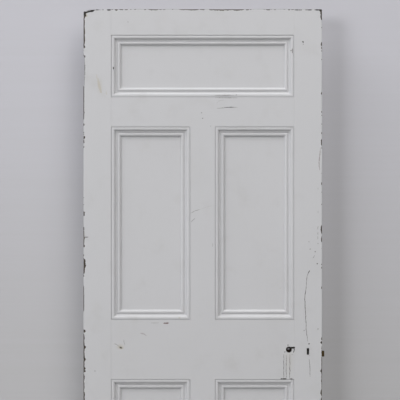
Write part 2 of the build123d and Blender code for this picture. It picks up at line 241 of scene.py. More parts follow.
class Bar:
    """A framing member as a closed skin: a rounded oblong carried along its length.

    u runs over the width from the inner edge to the worn outer edge, v through the thickness
    from the seen face, and t along the member. All are in millimetres. bare is 1 where the wood
    shows."""

    # Steps round an arris, and the least space between two places that crowd against it
    arris_steps = 6
    crowd = 0.04
    # Wood shows past this many times a sound arris's reach, and wholly this much further
    bare_from = 1.35
    bare_over = 0.5

    def __init__(self, width, rows, face_at, edge_at):
        self.width = width
        self.rows = rows
        self.turn = np.linspace(0, 1, self.arris_steps + 1)
        faces, arrises, edges = len(face_at), len(self.turn), len(edge_at)
        stops = np.cumsum([0, faces, arrises, edges, arrises, faces])
        self.front, self.arris, self.edge, _, self.back = map(slice, stops[:-1], stops[1:])
        u = np.concatenate([face_at, np.full(2 * arrises + edges, width), face_at[::-1]])
        v = np.concatenate([np.zeros(faces + arrises), edge_at,
                            np.full(arrises + faces, THICKNESS)])
        shape = (len(rows), len(u))
        self.u = np.broadcast_to(u, shape).copy()
        self.v = np.broadcast_to(v, shape).copy()
        self.t = np.broadcast_to(rows[:, None], shape).copy()
        self.bare = np.zeros(shape)

    def wear(self, face_reach, edge_reach, back, flatness, sound):
        """Cuts an outer arris back by its reach on the face and on the edge in each row.

        A point's way round the arris is a quarter circle, drawn towards the chord by flatness.
        The back is the front's mirror image, so its places are taken in reverse."""
        angle = self.turn * math.pi / 2
        flat = flatness[:, None]
        along_face = (1 - np.sin(angle)) * (1 - flat) + (1 - self.turn) * flat
        along_edge = (1 - np.cos(angle)) * (1 - flat) + self.turn * flat
        reach = np.maximum(face_reach, edge_reach)
        order = slice(None, None, -1 if back else 1)
        u, v, bare = (grid[:, order] for grid in (self.u, self.v, self.bare))
        shown = (reach - sound * self.bare_from) / self.bare_over
        bare[:, self.arris] = np.clip(shown, 0, 1)[:, None]
        u[:, self.arris] = self.width - face_reach[:, None] * along_face
        inward = self.crowd * np.arange(self.front.stop, 0, -1)
        u[:, self.front] = np.minimum(u[:, self.front],
                                      self.width - face_reach[:, None] - inward)
        depth = edge_reach[:, None] * along_edge
        inward = self.crowd * np.arange(1, v[:, self.edge].shape[1] + 1)
        least = edge_reach[:, None] + inward
        if back:
            v[:, self.arris] = THICKNESS - depth
            v[:, self.edge] = np.minimum(v[:, self.edge], THICKNESS - least)
        else:
            v[:, self.arris] = depth
            v[:, self.edge] = np.maximum(v[:, self.edge], least)

    def recess(self, low, high, near, far, depth):
        """Lets the outer edge in, to bare wood, between two rows and two depths of thickness."""
        inside = (self.t > low) & (self.t < high) & (self.v > near) & (self.v < far)
        sunk = inside & (self.u > self.width - depth)
        self.u = np.where(sunk, self.width - depth, self.u)
        self.bare = np.where(sunk, 1, self.bare)

    def pierce(self, middle, first, half_width, depth):
        """Sinks a hole in both faces: of four columns, the outer two stay and the inner two go in.

        middle is the hole's place over the width, first the number of its first column, and
        half_width its half width in each row, 0 where there is no hole."""
        open_rows = half_width > 0
        spread = np.array([-1.0, -1.0, 1.0, 1.0]) * half_width[open_rows][:, None]
        edge = np.array([-self.crowd, self.crowd, -self.crowd, self.crowd])
        for start, direction, sign in ((self.front.start, 1, 1), (self.back.stop - 1, -1, -1)):
            order = start + direction * (first + np.arange(4))
            at = np.ix_(open_rows, order)
            self.u[at] = middle + spread + edge
            sunk = np.ix_(open_rows, order[1:3])
            self.v[sunk] += sign * depth
            self.bare[sunk] = 1

    def faces(self):
        """Quads round and along the bar, strips across its ends and a face at each outer end."""
        rows, count = self.u.shape
        index = np.arange(rows * count).reshape(rows, count)
        nearer = index[:-1]
        further = index[1:]
        quads = np.stack([nearer, np.roll(nearer, -1, 1), np.roll(further, -1, 1), further], -1)
        faces = quads.reshape(-1, 4).tolist()
        for row, step in ((index[0], 1), (index[-1], -1)):
            front = row[self.front]
            back = row[self.back][::-1]
            strip = np.stack([front[:-1], back[:-1], back[1:], front[1:]], -1)
            faces += strip[:, ::step].tolist()
            outer = np.concatenate([front[-1:], row[self.front.stop:self.back.start], back[-1:]])
            faces.append(outer[::-step].tolist())
        return faces


def box_points(low, high):
    """A box's eight corners and six outward faces."""
    corners = np.array([[(low, high)[(i >> axis) & 1][axis] for axis in range(3)]
                        for i in range(8)])
    faces = [[0, 2, 3, 1], [4, 5, 7, 6], [0, 1, 5, 4], [2, 6, 7, 3], [0, 4, 6, 2], [1, 3, 7, 5]]
    return corners, faces


PAIR_GAP = 0.03
# Places in from an arris, over a face and over an edge
FACE_CROWD = np.array([0.6, 1.4, 2.4, 3.6, 5.0, 7.0, 10.0, 15.0, 24.0])
EDGE_CROWD = np.array([0.6, 1.6, 3.0, 5.0, 8.0])


def astride(breaks):
    """A place just before and just after each break."""
    return [at + side * PAIR_GAP for at in breaks for side in (-1, 1)]


def stations(low, high, wear, breaks):
    """Even places from low to high, with a pair of places astride each break."""
    steps = round((high - low) * MM / wear.row_spacing)
    even = np.linspace(low, high, max(1, steps) + 1)
    return np.unique(np.concatenate([even, astride(breaks)]))


def face_places(width):
    """Places over a face from its inner edge, crowded towards its outer arris."""
    return np.concatenate([[0, FACE_CROWD[0]], (width - FACE_CROWD)[::-1]])


def edge_places(breaks):
    """Places over an edge, crowded at both arrises, with a pair astride each break."""
    return np.unique(np.concatenate([EDGE_CROWD, [FACE], THICKNESS - EDGE_CROWD,
                                     astride(breaks)]))


# Shaders


class Wire:
    """A value, colour or vector on its way between nodes. Arithmetic on it adds Math nodes."""

    def __init__(self, recipe, socket):
        self.recipe = recipe
        self.socket = socket

    def maths(self, operation, *others, clamp=False):
        """A Math node that takes this value first."""
        return self.recipe.node("Math", [self, *others], operation=operation, use_clamp=clamp)

    def __add__(self, other):
        return self.maths("ADD", other)

    __radd__ = __add__

    def __mul__(self, other):
        return self.maths("MULTIPLY", other)

    __rmul__ = __mul__

    def __sub__(self, other):
        return self.maths("SUBTRACT", other)

    def __rsub__(self, other):
        return self.recipe.node("Math", [other, self], operation="SUBTRACT")

    def __truediv__(self, other):
        return self.maths("DIVIDE", other)

    def __pow__(self, other):
        return self.maths("POWER", other)

    def __gt__(self, other):
        return self.maths("GREATER_THAN", other)

    def clamp(self):
        """Held between 0 and 1."""
        return self.maths("ADD", 0.0, clamp=True)

    def between(self, low, high):
        """Rises smoothly from 0 at low to 1 at high."""
        return self.recipe.node("MapRange", {"Value": self, "From Min": low, "From Max": high},
                                interpolation_type="SMOOTHSTEP")


class Recipe:
    """A material and the nodes in it."""

    def __init__(self, name):
        self.material = bpy.data.materials.new(name)
        self.material.use_nodes = True
        self.tree = self.material.node_tree
        self.tree.nodes.clear()

    def node(self, kind, inputs=(), output=0, **settings):
        """Adds a node, sets it, and feeds its sockets by number or name."""
        made = self.tree.nodes.new("ShaderNode" + kind)
        for key, value in settings.items():
            setattr(made, key, value)
        entries = inputs.items() if isinstance(inputs, dict) else enumerate(inputs)
        for key, value in entries:
            socket = made.inputs[key]
            if isinstance(value, Wire):
                self.tree.links.new(value.socket, socket)
            elif socket.type == "RGBA" and len(value) == 3:
                socket.default_value = (*value, 1)
            else:
                socket.default_value = value
        return Wire(self, made.outputs[output]) if made.outputs else made

    def object_place(self):
        """Where a point is, in metres, in the leaf's own frame."""
        return self.node("TexCoord", output="Object")

    def axes(self, place):
        """The three coordinates of a place."""
        made = self.node("SeparateXYZ", [place])
        outputs = made.socket.node.outputs
        return [Wire(self, outputs[i]) for i in range(3)]

    def noise(self, place, scale, detail=3.0, roughness=0.55, stretch=(1, 1, 1), shift=(0, 0, 0)):
        """Clouds about 0.5. stretch multiplies the scale along each axis."""
        moved = self.node("Mapping", {"Vector": place, "Location": shift, "Scale": stretch})
        return self.node("TexNoise", {"Vector": moved, "Scale": scale, "Detail": detail,
                                      "Roughness": roughness})

    def mix(self, first, second, share):
        """A colour between two colours."""
        return self.node("Mix", {0: share, 6: first, 7: second}, output=2, data_type="RGBA")

    def bump(self, height, distance):
        """A normal that leans as a height in units of distance does."""
        return self.node("Bump", {"Height": height, "Distance": distance, "Strength": 1.0})

    def finish(self, **sockets):
        """Ends the recipe in a Principled shader and returns its material."""
        named = {key.replace("_", " "): value for key, value in sockets.items()}
        shader = self.node("BsdfPrincipled", named, output="BSDF")
        self.node("OutputMaterial", {"Surface": shader})
        return self.material


# Dark linear colours: wood fibre, painted shade in holes and marks, black dirt, and dust
DARK_FIBRE = (0.02, 0.015, 0.011)
HOLE_SHADE = (0.012, 0.01, 0.008)
BLACK_DIRT_AND_SHADE = (0.012, 0.009, 0.007)
SCREW_SHADE = (0.012, 0.01, 0.009)
SCREW_DUST = (0.03, 0.025, 0.02)

# Stretch of brush marks on members that stand and that lie, and how much finer the fibre is
VERTICAL = (320.0, 320.0, 9.0)
HORIZONTAL = (9.0, 320.0, 320.0)
FIBRE_FINER = 2.2
# Heights in metres between which the paint darkens a little: painted shade lower down
SHADED_BELOW = (1.1, 0.8)


def aged_paint(name, grain, stains, worn_ends, hole):
    """Brushed old paint over softwood, bare where the mesh says so, with painted shade lower down
    and in a hole.

    grain is the stretch of brush marks and wood fibre on each axis. stains and hole are as in the
    lists below, and worn_ends bares the top and the foot."""
    paint = bpy.context.scene.door_paint
    recipe = Recipe(name)
    place = recipe.object_place()
    x, _, z = recipe.axes(place)

    cloud = recipe.noise(place, 2.3, detail=6, roughness=0.6)
    patch = recipe.noise(place, 11, detail=4, shift=(3, 1, 2))
    fine = recipe.noise(place, 140, detail=3, roughness=0.7)
    brush = recipe.noise(place, 1, detail=3, roughness=0.6, stretch=grain)
    fibre = recipe.noise(place, 1, detail=5, roughness=0.65,
                         stretch=tuple(FIBRE_FINER * each for each in grain), shift=(5, 5, 5))

    # Grime in clouds, streaks along the brush marks, painted shade lower down, and stains with
    # ragged outlines
    grime = (patch.between(0.52, 0.85) * 0.35 + cloud.between(0.5, 0.8) * 0.25).clamp()
    # Painted shade: the paint darkens a little towards the dirt colour below about a metre
    low = z.between(*SHADED_BELOW) * 0.04
    colour = recipe.mix(paint.paint, paint.dirt, grime * 0.45 + (brush - 0.5) * 0.06 + low)
    for at_x, at_z, half_width, half_height, strength in stains:
        away = (((x - at_x) / half_width) ** 2 + ((z - at_z) / half_height) ** 2) ** 0.5
        stain = (1 - (away + (patch - 0.5) * 1.4).between(0.35, 1.1)) * strength
        colour = recipe.mix(colour, paint.stain, stain * (0.5 + 0.5 * brush))

    # Bare wood in the chips and on the outermost millimetre of the ends, and small flakes
    bare = recipe.node("Attribute", output="Fac", attribute_name="bare")
    bare = (bare + (fine - 0.5) * 0.5).between(0.4, 0.6)
    flaked = recipe.noise(place, 55, detail=2, shift=(7, 3, 1)).between(0.82, 0.84)
    if worn_ends:
        end = (z - (HEIGHT - 1.2) * MM).between(0, 0.0008) + (0.001 - z).between(0, 0.0006)
        bare = (bare + end * (0.72 + patch * 0.5).between(0.8, 0.95)).clamp()
    wood = recipe.mix(paint.wood, DARK_FIBRE, fibre.between(0.35, 0.75) * 0.75)
    wood = recipe.mix(wood, paint.dirt, patch.between(0.55, 0.7) * 0.35)
    colour = recipe.mix(colour, recipe.mix(paint.stain, paint.dirt, 0.5), flaked * 0.55)
    colour = recipe.mix(colour, wood, bare)
    # Painted shade: near black inside the hole through the member
    if hole:
        at_x, at_z, half_width, half_height, power = hole
        away = ((x - at_x) / half_width) ** power + ((z - at_z) / half_height) ** power
        colour = recipe.mix(colour, HOLE_SHADE, 1 - away.between(1, 1.1))

    gloss = 0.5 + 0.2 * grime + (fine - 0.5) * 0.12
    roughness = gloss * (1 - bare) + 0.85 * bare
    relief = brush * 0.55 + fine * 0.3 + patch * 1.2 - flaked * 1.1
    relief = relief * (1 - bare) + (fibre * 2.2 - 1.2) * bare
    return recipe.finish(Base_Color=colour, Roughness=roughness.clamp(),
                         Normal=recipe.bump(relief, paint.relief))


def old_metal(name, metal, crust, roughness, metallic):
    """Tarnished metal with a dull crust in clouds."""
    recipe = Recipe(name)
    place = recipe.object_place()
    cloud = recipe.noise(place, 60, detail=5)
    fine = recipe.noise(place, 700, detail=3)
    dull = (cloud + (fine - 0.5) * 0.3).between(0.42, 0.62)
    return recipe.finish(
        Base_Color=recipe.mix(metal, crust, dull), Roughness=(roughness + dull * 0.3).clamp(),
        Metallic=metallic * (1 - dull * 0.6), Normal=recipe.bump(fine * 0.4 + cloud, 0.00025))


# Materials and how pieces take them

# Finished paints by the member that they are on
materials = {}

# Holes with painted shade inside: x, z, half width and half height in metres, and the power of the
# outline, which is 2 for a round hole and more for a squarer one
KEYHOLE_SHADE = (0.403, 0.823, 0.0045, 0.0125, 8)
SPINDLE_SHADE = (0.330, 0.830, 0.0112, 0.0112, 2)
# Stains: x, z, half width and half height in metres, and strength
STILE_STAINS = ((-0.395, 1.842, 0.016, 0.04, 0.25),)
RAIL_STAINS = ((-0.315, 0.841, 0.016, 0.012, 0.35), (0.33, 0.79, 0.02, 0.07, 0.15))


def make_materials():
    """Mixes the paints."""
    for member, grain, stains, worn_ends, hole in (
        ("stiles", VERTICAL, STILE_STAINS, True, KEYHOLE_SHADE),
        ("rails", HORIZONTAL, RAIL_STAINS, True, SPINDLE_SHADE),
        ("panels", VERTICAL, (), False, None),
        ("upright mouldings", VERTICAL, (), False, None),
        ("level mouldings", HORIZONTAL, (), False, None),
        ("wedge ends", HORIZONTAL, (), False, None),
    ):
        materials[member] = aged_paint("paint on " + member, grain, stains, worn_ends, hole)


def give(names, material):
    """Puts one material on CAD pieces."""
    for name in names:
        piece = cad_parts[name]
        piece.data.materials.clear()
        piece.data.materials.append(material)


def stand_for(made, node, material):
    """A new piece takes a material, and a CAD piece's place and body."""
    made.data.materials.append(material)
    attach(made, "leaf")
    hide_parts(node)


# Framing

# Joints and housings in millimetres: heights from the foot, depths from the seen face
TENONS = ((36, 86), (168, 218), (727, 777), (883, 933), (1700.5, 1780.5), (2046, 2098))
TENON_FRONT = 15.0
TENON_BACK = 30.0
WEDGE_RISE = 7.0
TENON_SHOW = 2.0
JOINT_GAP = 0.25
TENON_REACH = WEDGE_RISE + JOINT_GAP
TENON_SPANS = [(low - TENON_REACH, high + TENON_REACH) for low, high in TENONS]
TENON_WAY = (TENON_FRONT - JOINT_GAP, TENON_BACK + JOINT_GAP)
END_ROUND = 1.4
END_ROWS = np.array([0, 0.05, 0.25, 0.7])
END_CLEAR = 0.2
INNER_EASE = 0.5
HINGE_HOUSINGS = ((240, 354), (1842, 1956))
HINGE_DEPTH = 4.5
HINGE_BACK = 36.0
# The knocked top corner: its width and drop, the power of its fall, the depth that is bare below
# it, and the share of their spacing that the rows under it keep
CORNER_WIDTH = 46.0
CORNER_DROP = 12.0
CORNER_POWER = 1.7
CORNER_BARE = 0.4
ROW_KEEP = 0.004
# The keyhole: the place of its bow, then the bow's radius, the slot's half width and its drop
KEY = (403.0, 830.0)
KEYHOLE = (4.0, 3.25, 18.0)
KEYHOLE_DEPTH = 14.0
KEYHOLE_ROWS = 24
FOREND = (786.0, 874.0)
FOREND_SIDES = (11.5, 33.5)
FOREND_DEPTH = 3.0
BOLT_WAYS = ((800.75, 823.25), (837.75, 860.25))
BOLT_SIDES = (17.45, 27.55)
BOLT_WAY_DEPTH = 40.0

# Spacings of wear along an arris, the depth from which a chip is flat, and the unseen side's
# share of the seen side's depths
SOUND_SPACING = 60
EDGE_SPACING = 9
FLAT_DEPTH = 1.5
BACK_SHARE = 0.8

# Chips that the photo shows: middle along the arris, length and depth in millimetres
HANGING_CHIPS = (
    (2114, 40, 8.5), (2052, 150, 4.8), (2023, 26, 7.5), (1988, 9, 6), (1951, 12, 7.5),
    (1897, 112, 4.8), (1775, 150, 1.9), (1738, 8, 4.4), (1642, 13, 5.6), (1623, 7, 4),
    (1350, 18, 4.8), (1267, 76, 2.3), (1259, 12, 6.4), (1227, 11, 5.4), (1155, 54, 8),
    (1128, 16, 4.4), (1020, 130, 1.6), (901, 14, 8), (876, 34, 4.2), (807, 156, 3),
    (839, 14, 7.5), (791, 16, 7.5), (757, 12, 8), (747, 10, 8), (722, 30, 3.6), (690, 40, 3.6),
    (650, 50, 4.6), (520, 25, 4), (205, 30, 4.5), (60, 90, 3.5),
)
CLOSING_CHIPS = (
    (2134, 88, 7.5), (2000, 17, 5.4), (1812, 12, 2.6), (1624, 27, 4.6), (1290, 34, 3.6),
    (1251, 22, 4), (746, 230, 1.5), (857, 9, 6), (749, 12, 6), (710, 11, 4.5), (667, 27, 6.2),
    (637, 13, 6), (560, 60, 3.4), (430, 20, 5), (310, 36, 3), (120, 45, 4), (25, 50, 5),
)
TOP_CHIPS = (
    (-332, 14, 4), (-310, 14, 2.8), (-221, 5, 3), (-188, 38, 3.4), (-53, 82, 3.6), (0, 14, 3.2),
    (68, 96, 4.8), (136, 50, 3.8), (171, 12, 4), (252, 18, 3.2), (331, 7, 4.5),
)


def worn_sides(bar, chips, wear, seed):
    """Wears both outer arrises of a bar, the seen one as the photo shows and the other alike."""
    t = bar.rows
    low, high = t[0], t[-1]
    for back in (False, True):
        own = seed + 50 * back
        own_chips = list(chips) if not back else [
            (low + high - middle, length, depth * BACK_SHARE)
            for middle, length, depth in chips[1:]
        ]
        own_chips += nibbled(low, high, wear.nibbles, wear.nibble_depth / MM, own + 1)
        sound = wear.arris / MM * (0.75 + 0.5 * uneven(t, SOUND_SPACING, own + 2))
        depth = chipped(t, own_chips, own + 3)
        face_reach = sound + depth
        edge_reach = sound + depth * (0.55 + 0.6 * uneven(t, EDGE_SPACING, own + 5))
        flatness = np.clip(depth / FLAT_DEPTH, 0, 1.1)
        bar.wear(face_reach, edge_reach, back, flatness, sound)


def worn_bar(width, rows, face_at, breaks, chips, wear, seed):
    """A member with worn outer arrises, and inner corners eased so that its joints show a line."""
    bar = Bar(width, rows, face_at, edge_places(breaks))
    worn_sides(bar, chips, wear, seed)
    bar.v[:, 0] = INNER_EASE
    bar.v[:, -1] = THICKNESS - INNER_EASE
    return bar


def round_end(bar, end):
    """Rounds the arrises round one end: the inset is a quarter circle of the way to the end."""
    away = np.clip(END_ROUND - np.abs(bar.t - end), 0, END_ROUND)
    inset = END_ROUND - np.sqrt(np.clip(END_ROUND ** 2 - away ** 2, 0, None))
    bar.v = np.clip(bar.v, inset, THICKNESS - inset)
    bar.u = np.minimum(bar.u, bar.width - inset)


def knock_corner(bar):
    """Takes the top outer corner off: the drop is a power of the way out, with a ripple."""
    part = np.clip((bar.u - (bar.width - CORNER_WIDTH)) / CORNER_WIDTH, 0, 1)
    drop = CORNER_DROP * part ** CORNER_POWER * (0.9 + 0.12 * np.sin(bar.u * 0.9))
    bar.bare = np.where((part > 0) & (bar.t > HEIGHT - drop - CORNER_BARE), 1, bar.bare)
    bar.t = np.minimum(bar.t, HEIGHT - drop - (HEIGHT - bar.t) * ROW_KEEP)


def keyhole_half_widths(rows):
    """The keyhole's half width in each row: a round bow over a slot, and 0 outside them."""
    bow, slot, drop = KEYHOLE
    rise = rows - KEY[1]
    round_part = np.sqrt(np.clip(bow ** 2 - rise ** 2, 0, None))
    half_width = np.where(rise > -math.sqrt(bow ** 2 - slot ** 2), round_part, slot)
    return np.where((rise > -drop) & (rise < bow), half_width, 0)


def stile_rows(breaks, wear):
    """Rows along a stile, closer at its ends."""
    rows = stations(END_ROUND + END_CLEAR, HEIGHT - END_ROUND - END_CLEAR, wear, breaks)
    return np.concatenate([END_ROWS, rows, HEIGHT - END_ROWS[::-1]])


def ends(*spans):
    """Both ends of every span."""
    return [end for span in spans for end in span]


def show_tenons(bar):
    """Lets the stile's edge in where the wedged tenons come through it."""
    for span in TENON_SPANS:
        bar.recess(*span, *TENON_WAY, TENON_SHOW)


def stand_stile(bar, node, shoulder, outward):
    """Bares a stile's end grain and stands it in its CAD piece's place.

    outward is the sign of the way from its shoulder to its outer edge."""
    bar.bare[[0, -1]] = 1
    points = np.stack([shoulder + outward * bar.u, bar.v - FACE, bar.t], -1).reshape(-1, 3)
    stile = add_solid(node + "_worn", points, bar.faces(), bar.bare)
    stand_for(stile, node, materials["stiles"])


class DOOR_OT_hanging_stile(bpy.types.Operator):
    """The stile on the hinge side: worn arrises, knocked top corner, hinge housings"""

    bl_idname = "door.hanging_stile"
    bl_label = "Hanging stile"

    def execute(self, context):
        wear = context.scene.door_wear
        width = HANGING_SHOULDER - HANGING_EDGE
        rows = stile_rows(ends(*TENON_SPANS, *HINGE_HOUSINGS), wear)
        breaks = (*TENON_WAY, HINGE_BACK)
        bar = worn_bar(width, rows, face_places(width), breaks, HANGING_CHIPS, wear, seed=11)
        show_tenons(bar)
        for housing in HINGE_HOUSINGS:
            bar.recess(*housing, -JOINT_GAP, HINGE_BACK, HINGE_DEPTH)
        round_end(bar, 0)
        round_end(bar, HEIGHT)
        knock_corner(bar)
        stand_stile(bar, "hanging_stile", HANGING_SHOULDER, -1)
        return {"FINISHED"}


class DOOR_OT_closing_stile(bpy.types.Operator):
    """The stile on the lock side: worn arrises, keyhole, forend housing and bolt ways"""

    bl_idname = "door.closing_stile"
    bl_label = "Closing stile"

    def execute(self, context):
        wear = context.scene.door_wear
        width = CLOSING_EDGE - CLOSING_SHOULDER
        key_u = KEY[0] - CLOSING_SHOULDER
        bow, slot, drop = KEYHOLE
        rows = stile_rows(ends(*TENON_SPANS, FOREND, *BOLT_WAYS) + [KEY[1] - drop], wear)
        key_rows = np.linspace(KEY[1] - drop, KEY[1] + bow, KEYHOLE_ROWS)
        rows = np.unique(np.concatenate([rows, key_rows[1:]]))
        columns = [side + gap for side in (-slot, slot) for gap in (-Bar.crowd, Bar.crowd)]
        key_columns = key_u + np.array(columns)
        face_at = np.sort(np.concatenate([face_places(width), key_columns]))
        breaks = (*TENON_WAY, *FOREND_SIDES, *BOLT_SIDES)
        bar = worn_bar(width, rows, face_at, breaks, CLOSING_CHIPS, wear, seed=31)
        show_tenons(bar)
        bar.recess(*FOREND, *FOREND_SIDES, FOREND_DEPTH)
        for way in BOLT_WAYS:
            bar.recess(*way, *BOLT_SIDES, BOLT_WAY_DEPTH)
        first = int(np.searchsorted(face_at, key_columns[0]))
        bar.pierce(key_u, first, keyhole_half_widths(rows), KEYHOLE_DEPTH)
        round_end(bar, 0)
        round_end(bar, HEIGHT)
        stand_stile(bar, "closing_stile", CLOSING_SHOULDER, 1)
        return {"FINISHED"}


class DOOR_OT_top_rail(bpy.types.Operator):
    """The top rail: chipped top arris, bare top edge, tenons through both stiles"""

    bl_idname = "door.top_rail"
    bl_label = "Top rail"

    def execute(self, context):
        wear = context.scene.door_wear
        width = HEIGHT - TOP_RAIL_LOW
        rows = stations(HANGING_SHOULDER, CLOSING_SHOULDER, wear, ())
        bar = worn_bar(width, rows, face_places(width), (), TOP_CHIPS, wear, seed=71)
        bar.bare[:, bar.edge] = 1
        points = np.stack([bar.t, bar.v - FACE, TOP_RAIL_LOW + bar.u], -1).reshape(-1, 3)
        faces = bar.faces()
        bare = bar.bare.ravel()
        half = (TENON_BACK - TENON_FRONT) / 2
        low, high = TENONS[-1]
        for start, end in ((HANGING_EDGE, HANGING_SHOULDER), (CLOSING_SHOULDER, CLOSING_EDGE)):
            corners, sides = box_points((start, -half, low), (end, half, high))
            faces += [[i + len(points) for i in side] for side in sides]
            points = np.concatenate([points, corners])
            bare = np.concatenate([bare, np.zeros(len(corners))])
        rail = add_solid("top_rail_worn", points, faces, bare)
        stand_for(rail, "top_rail", materials["rails"])
        return {"FINISHED"}


# Pieces that keep their CAD shapes


class DOOR_OT_framing(bpy.types.Operator):
    """Paint on the frieze, lock and bottom rails, the muntins and the wedges"""

    bl_idname = "door.framing"
    bl_label = "Rails and muntins"

    def execute(self, context):
        give(RAILS, materials["rails"])
        give(MUNTINS, materials["stiles"])
        give(("tenon_wedges",), materials["wedge ends"])
        return {"FINISHED"}


class DOOR_OT_panels(bpy.types.Operator):
    """Paint on the five panels"""

    bl_idname = "door.panels"
    bl_label = "Panels"

    def execute(self, context):
        panels = [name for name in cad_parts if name.endswith("_panel")]
        give(panels, materials["panels"])
        return {"FINISHED"}


class DOOR_OT_mouldings(bpy.types.Operator):
    """Paint on the planted mouldings"""

    bl_idname = "door.mouldings"
    bl_label = "Mouldings"

    def execute(self, context):
        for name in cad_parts:
            if "_moulding_" in name:
                level = name.endswith(("_head", "_sill"))
                give((name,), materials["level mouldings" if level else "upright mouldings"])
        return {"FINISHED"}


class DOOR_OT_lock(bpy.types.Operator):
    """Dark iron and dull brass on the lock"""

    bl_idname = "door.lock"
    bl_label = "Lock"

    def execute(self, context):
        metal = context.scene.door_metal
        give(LOCK_IRON, old_metal("old iron", metal.iron, metal.iron_crust,
                                  roughness=0.6, metallic=0.6))
        give(LOCK_BRASS, old_metal("dull brass", metal.brass, metal.brass_crust,
                                   roughness=0.42, metallic=1))
        give(LOCK_STEEL, old_metal("screw steel", metal.steel, metal.steel_crust,
                                   roughness=0.5, metallic=0.8))
        return {"FINISHED"}


# Marks and holes

# Colours of the marks
GREY, RED, DARK, YELLOW = range(4)

# Marks on the seen side: their points (x, z) in millimetres, width, strength, colour and how
# far they lie behind the leaf's face
MARKS = (
    # The long crack above the keyhole and its tail below
    (((405, 1129), (401, 1113), (397, 1090), (396, 1060), (392, 1040), (391, 1018), (393, 988),
      (395, 945), (396, 908), (399, 888), (402, 861)), 2.3, 0.95, GREY, 0),
    (((407, 795), (410, 772), (411, 748), (411, 726)), 1.8, 0.85, GREY, 0),
    # Scratches down the closing stile
    (((451, 1604), (447, 1562), (445, 1545), (448, 1517)), 3.0, 0.6, RED, 0),
    (((441.5, 1451), (441.5, 1441)), 1.4, 0.35, GREY, 0),
    (((441.5, 1363), (441.5, 1352)), 1.4, 0.6, GREY, 0),
    (((441.5, 1304), (441, 1289)), 1.6, 0.7, GREY, 0),
    (((441, 1281), (441, 1269)), 1.6, 0.7, GREY, 0),
    (((441, 1264), (441, 1252)), 1.6, 0.65, GREY, 0),
    (((421, 1180), (430, 1192)), 2.2, 0.6, GREY, 0),
    (((404, 1122), (410, 1134)), 4.0, 0.75, GREY, 0),
    # Scratches on the frieze rail
    (((47, 1795), (134, 1794)), 2.6, 0.5, GREY, 0),
    (((55, 1754), (70, 1755), (96, 1758), (134, 1758)), 2.4, 0.6, GREY, 0),
    (((90, 1758), (118, 1759)), 2.8, 0.8, GREY, 0),
    (((53, 1772), (60, 1782), (82, 1786)), 2.0, 0.2, GREY, 0),
    # Scratches on the middle muntin
    (((-45, 1353), (-28, 1362), (-11, 1367)), 2.4, 0.55, GREY, 0),
    (((-11, 1367), (24, 1379), (43, 1381)), 1.2, 0.2, GREY, 0),
    (((-45, 1319), (-38, 1326), (-29, 1333)), 2.2, 0.55, GREY, 0),
    (((38, 1238), (38, 1222)), 1.4, 0.5, GREY, 0),
    # Scuffs and scratches on the lock rail
    (((-240, 893), (-226, 890), (-216, 883)), 5.0, 0.35, RED, 0),
    (((-341, 853), (-331, 850), (-321, 842)), 1.8, 0.55, GREY, 0),
    (((-303, 869), (-301, 856), (-299, 846)), 1.8, 0.5, GREY, 0),
    (((-322, 841), (-305, 834)), 8.5, 0.55, YELLOW, 0),
    (((-318, 839), (-310, 836)), 5.0, 0.45, GREY, 0),
    (((-200, 932), (-168, 932)), 1.8, 0.5, GREY, 0),
    (((-151, 931), (-140, 931), (-129, 932)), 5.0, 0.9, RED, 0),
    # Scratches below the spindle hole
    (((310.5, 812), (310, 717)), 2.1, 0.85, GREY, 0),
    (((319.5, 810), (320, 717)), 2.0, 0.85, GREY, 0),
    (((334, 812), (333.5, 717)), 2.2, 0.85, GREY, 0),
    (((298, 718), (321, 718)), 4.8, 1.0, DARK, 0),
    (((331, 718), (346, 718)), 2.8, 0.8, GREY, 0),
    # Dark patches at the spindle hole's splintered edges, and a dark sheet inside the keyhole as
    # painted shade
    (((336, 836.5), (344, 837), (353, 838)), 9.5, 1.0, DARK, 0),
    (((350, 838), (350, 828), (348.5, 818)), 4.4, 0.85, DARK, 0),
    (((339, 811), (346, 811)), 3.4, 0.3, GREY, 0),
    (((403, 840), (403, 807)), 20.0, 1.0, DARK, 5),
    # Yellowed scuffs on the hanging stile
    (((-402, 1870), (-399, 1855), (-396, 1840), (-389, 1812)), 9.0, 0.5, YELLOW, 0),
    (((-407, 1884), (-403, 1862)), 4.0, 0.3, YELLOW, 0),
    (((-371, 1822), (-368, 1806)), 4.0, 0.35, YELLOW, 0),
    # Bare wood round the corner and along the top
    (((-454, 2108), (-453, 2116), (-446, 2121.5), (-436, 2125), (-426, 2127), (-414, 2130)), 6.5,
     1.0, DARK, 0),
    (((-446, 2118), (-445, 2104)), 4.5, 0.7, YELLOW, 0),
    (((-436, 2127), (-418, 2126)), 8.0, 1.0, DARK, 0),
    (((-412, 2131), (-396, 2131.4)), 4.0, 0.9, DARK, 0),
    (((-386, 2131.6), (-378, 2131.6)), 3.4, 0.6, DARK, 0),
    (((-367, 2131), (-350, 2131)), 5.0, 0.9, DARK, 0),
    (((351, 2131), (379, 2131)), 4.4, 0.95, DARK, 0),
    (((393, 2131), (419, 2131)), 4.2, 0.9, DARK, 0),
    (((428, 2131), (454, 2131)), 4.4, 0.95, DARK, 0),
    # Single marks
    (((-452, 1261), (-446, 1260.5), (-438, 1261)), 4.0, 0.7, GREY, 0),
    (((382, 2011.5), (386, 2005)), 5.5, 0.95, DARK, 0),
    (((-342.5, 1913), (-342.5, 1903)), 3.4, 1.0, DARK, 0.4),
    (((343, 1983), (343, 1966)), 4.6, 0.7, GREY, 0.4),
    (((336, 1975), (341, 1976)), 4.0, 0.6, GREY, 1.0),
    (((46, 1804), (120, 1804.5)), 2.4, 0.5, GREY, 0.6),
    (((126, 1805), (131, 1806)), 3.4, 0.5, GREY, 0.4),
    (((-93, 952), (-86, 952)), 7.0, 0.3, YELLOW, 0.4),
)
